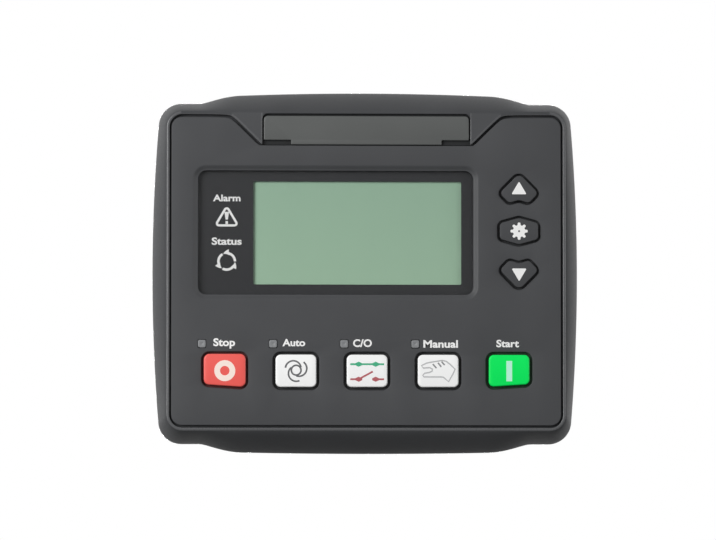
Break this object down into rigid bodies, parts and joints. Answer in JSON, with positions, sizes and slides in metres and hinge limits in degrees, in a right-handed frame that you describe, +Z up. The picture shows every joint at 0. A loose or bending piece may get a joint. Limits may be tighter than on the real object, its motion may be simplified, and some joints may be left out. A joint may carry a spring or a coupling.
{
  "type": "genset controller",
  "caption": "Panel-mounted generating set controller with a wavy rolled bezel, display window, push keys, rear terminals and screw clips.",
  "frame": {"origin": "middle of the gasket's back face, where the bezel meets the mounting panel", "axes": "+X to the right seen from the front, +Z up, +Y through the panel to the rear"},
  "size_m": [0.1406, 0.0465, 0.1194],
  "materials": {
    "bezel_abs": "fine matte moulding grain",
    "fascia_abs": "fine matte moulding grain",
    "nameplate_abs": "smooth matte",
    "window_tint": "tinted, satin face",
    "display_glass": "satin polariser",
    "key_red": "satin silicone",
    "key_white": "satin silicone",
    "key_green": "satin silicone",
    "key_dark": "satin silicone",
    "lamp_lens": "diffusing",
    "white_nylon": "smooth",
    "black_nylon": "smooth",
    "board_laminate": "solder mask",
    "plated_steel": "zinc plated",
    "brass": "turned",
    "relay_blue": "smooth",
    "terminal_green": "smooth",
    "housing_abs": "fine matte moulding grain",
    "gasket_rubber": "matt"
  },
  "bodies": {
    "controller": {"front_bezel": "bezel_abs", "fascia_panel": "fascia_abs", "nameplate": "nameplate_abs", "window_lens": "window_tint", "lcd_frame": "plated_steel", "lcd_glass": "display_glass", "backlight": "white_nylon", "indicator_guides": "white_nylon", "mode_lamps": "lamp_lens", "lamp_chips": "white_nylon", "key_switches": "black_nylon", "display_board": "board_laminate", "control_chip": "black_nylon", "board_header": "black_nylon", "board_spacers": "brass", "board_screws": "plated_steel", "power_board": "board_laminate", "relays": "relay_blue", "capacitors": "black_nylon", "transformer": "black_nylon", "cell_holder": "black_nylon", "backup_cell": "plated_steel", "terminal_headers": "terminal_green", "terminal_pins": "plated_steel", "terminal_screws": "plated_steel", "usb_socket": "plated_steel", "usb_insert": "black_nylon", "rear_housing": "housing_abs", "housing_screws": "plated_steel", "panel_gasket": "gasket_rubber", "left_clip": "black_nylon", "right_clip": "black_nylon", "jack_screws": "plated_steel", "upper_left_plug": "terminal_green", "upper_right_plug": "terminal_green", "lower_left_plug": "terminal_green", "lower_right_plug": "terminal_green"},
    "stop_button": {"stop_key": "key_red", "stop_plunger": "black_nylon"},
    "auto_button": {"auto_key": "key_white", "auto_plunger": "black_nylon"},
    "breaker_button": {"breaker_key": "key_white", "breaker_plunger": "black_nylon"},
    "manual_button": {"manual_key": "key_white", "manual_plunger": "black_nylon"},
    "start_button": {"start_key": "key_green", "start_plunger": "black_nylon"},
    "up_button": {"up_key": "key_dark", "up_plunger": "black_nylon"},
    "menu_button": {"menu_key": "key_dark", "menu_plunger": "black_nylon"},
    "down_button": {"down_key": "key_dark", "down_plunger": "black_nylon"}
  },
  "joints": [
    {"name": "stop_press", "type": "slide", "parent": "controller", "child": "stop_button", "axis": [0, 1, 0], "range_m": [0, 0.0006], "stiffness_N_per_m": 1500},
    {"name": "auto_press", "type": "slide", "parent": "controller", "child": "auto_button", "axis": [0, 1, 0], "range_m": [0, 0.0006], "stiffness_N_per_m": 1500},
    {"name": "breaker_press", "type": "slide", "parent": "controller", "child": "breaker_button", "axis": [0, 1, 0], "range_m": [0, 0.0006], "stiffness_N_per_m": 1500},
    {"name": "manual_press", "type": "slide", "parent": "controller", "child": "manual_button", "axis": [0, 1, 0], "range_m": [0, 0.0006], "stiffness_N_per_m": 1500},
    {"name": "start_press", "type": "slide", "parent": "controller", "child": "start_button", "axis": [0, 1, 0], "range_m": [0, 0.0006], "stiffness_N_per_m": 1500},
    {"name": "up_press", "type": "slide", "parent": "controller", "child": "up_button", "axis": [0, 1, 0], "range_m": [0, 0.0006], "stiffness_N_per_m": 1500},
    {"name": "menu_press", "type": "slide", "parent": "controller", "child": "menu_button", "axis": [0, 1, 0], "range_m": [0, 0.0006], "stiffness_N_per_m": 1500},
    {"name": "down_press", "type": "slide", "parent": "controller", "child": "down_button", "axis": [0, 1, 0], "range_m": [0, 0.0006], "stiffness_N_per_m": 1500}
  ]
}
